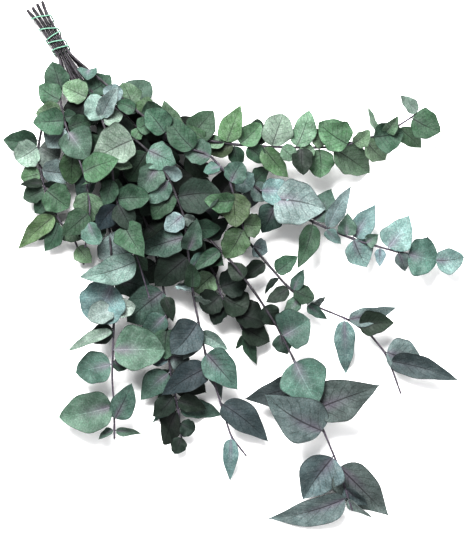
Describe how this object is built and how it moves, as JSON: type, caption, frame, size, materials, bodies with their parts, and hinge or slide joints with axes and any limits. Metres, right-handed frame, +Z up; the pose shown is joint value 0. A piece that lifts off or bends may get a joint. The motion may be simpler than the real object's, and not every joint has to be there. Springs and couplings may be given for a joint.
{
  "type": "bunch of dried eucalyptus",
  "caption": "Bunch of dried eucalyptus lying on its side, its leafy stems fanning out from a pale elastic tie near their cut ends.",
  "frame": {"origin": "centre of the base of the bounding box, on the surface that the bunch lies on", "axes": "+Y towards the cut ends, against the longest way the stems run; +Z up; +X across the fan, towards its right-hand sprays seen from above"},
  "size_m": [0.4641, 0.5244, 0.0887],
  "materials": {
    "leaf": "matt, leathery dried leaf with a pale bloom",
    "stem": "matt purple-brown bark",
    "tie": "smooth pale green elastic"
  },
  "bodies": {
    "root": {"leafy_stem_01_upper_right": "leaf", "leafy_stem_02_right": "leaf", "leafy_stem_03_top_right": "leaf", "leafy_stem_04_lower_right": "leaf", "leafy_stem_05_long_lower": "leaf", "leafy_stem_06_inner_low": "leaf", "leafy_stem_07_centre": "leaf", "leafy_stem_08_lower_centre": "leaf", "leafy_stem_09_top_left": "leaf", "leafy_stem_10_lower_left": "leaf", "leafy_stem_11_left_top": "leaf", "leafy_stem_12_left": "leaf", "tie": "tie"}
  },
  "joints": []
}
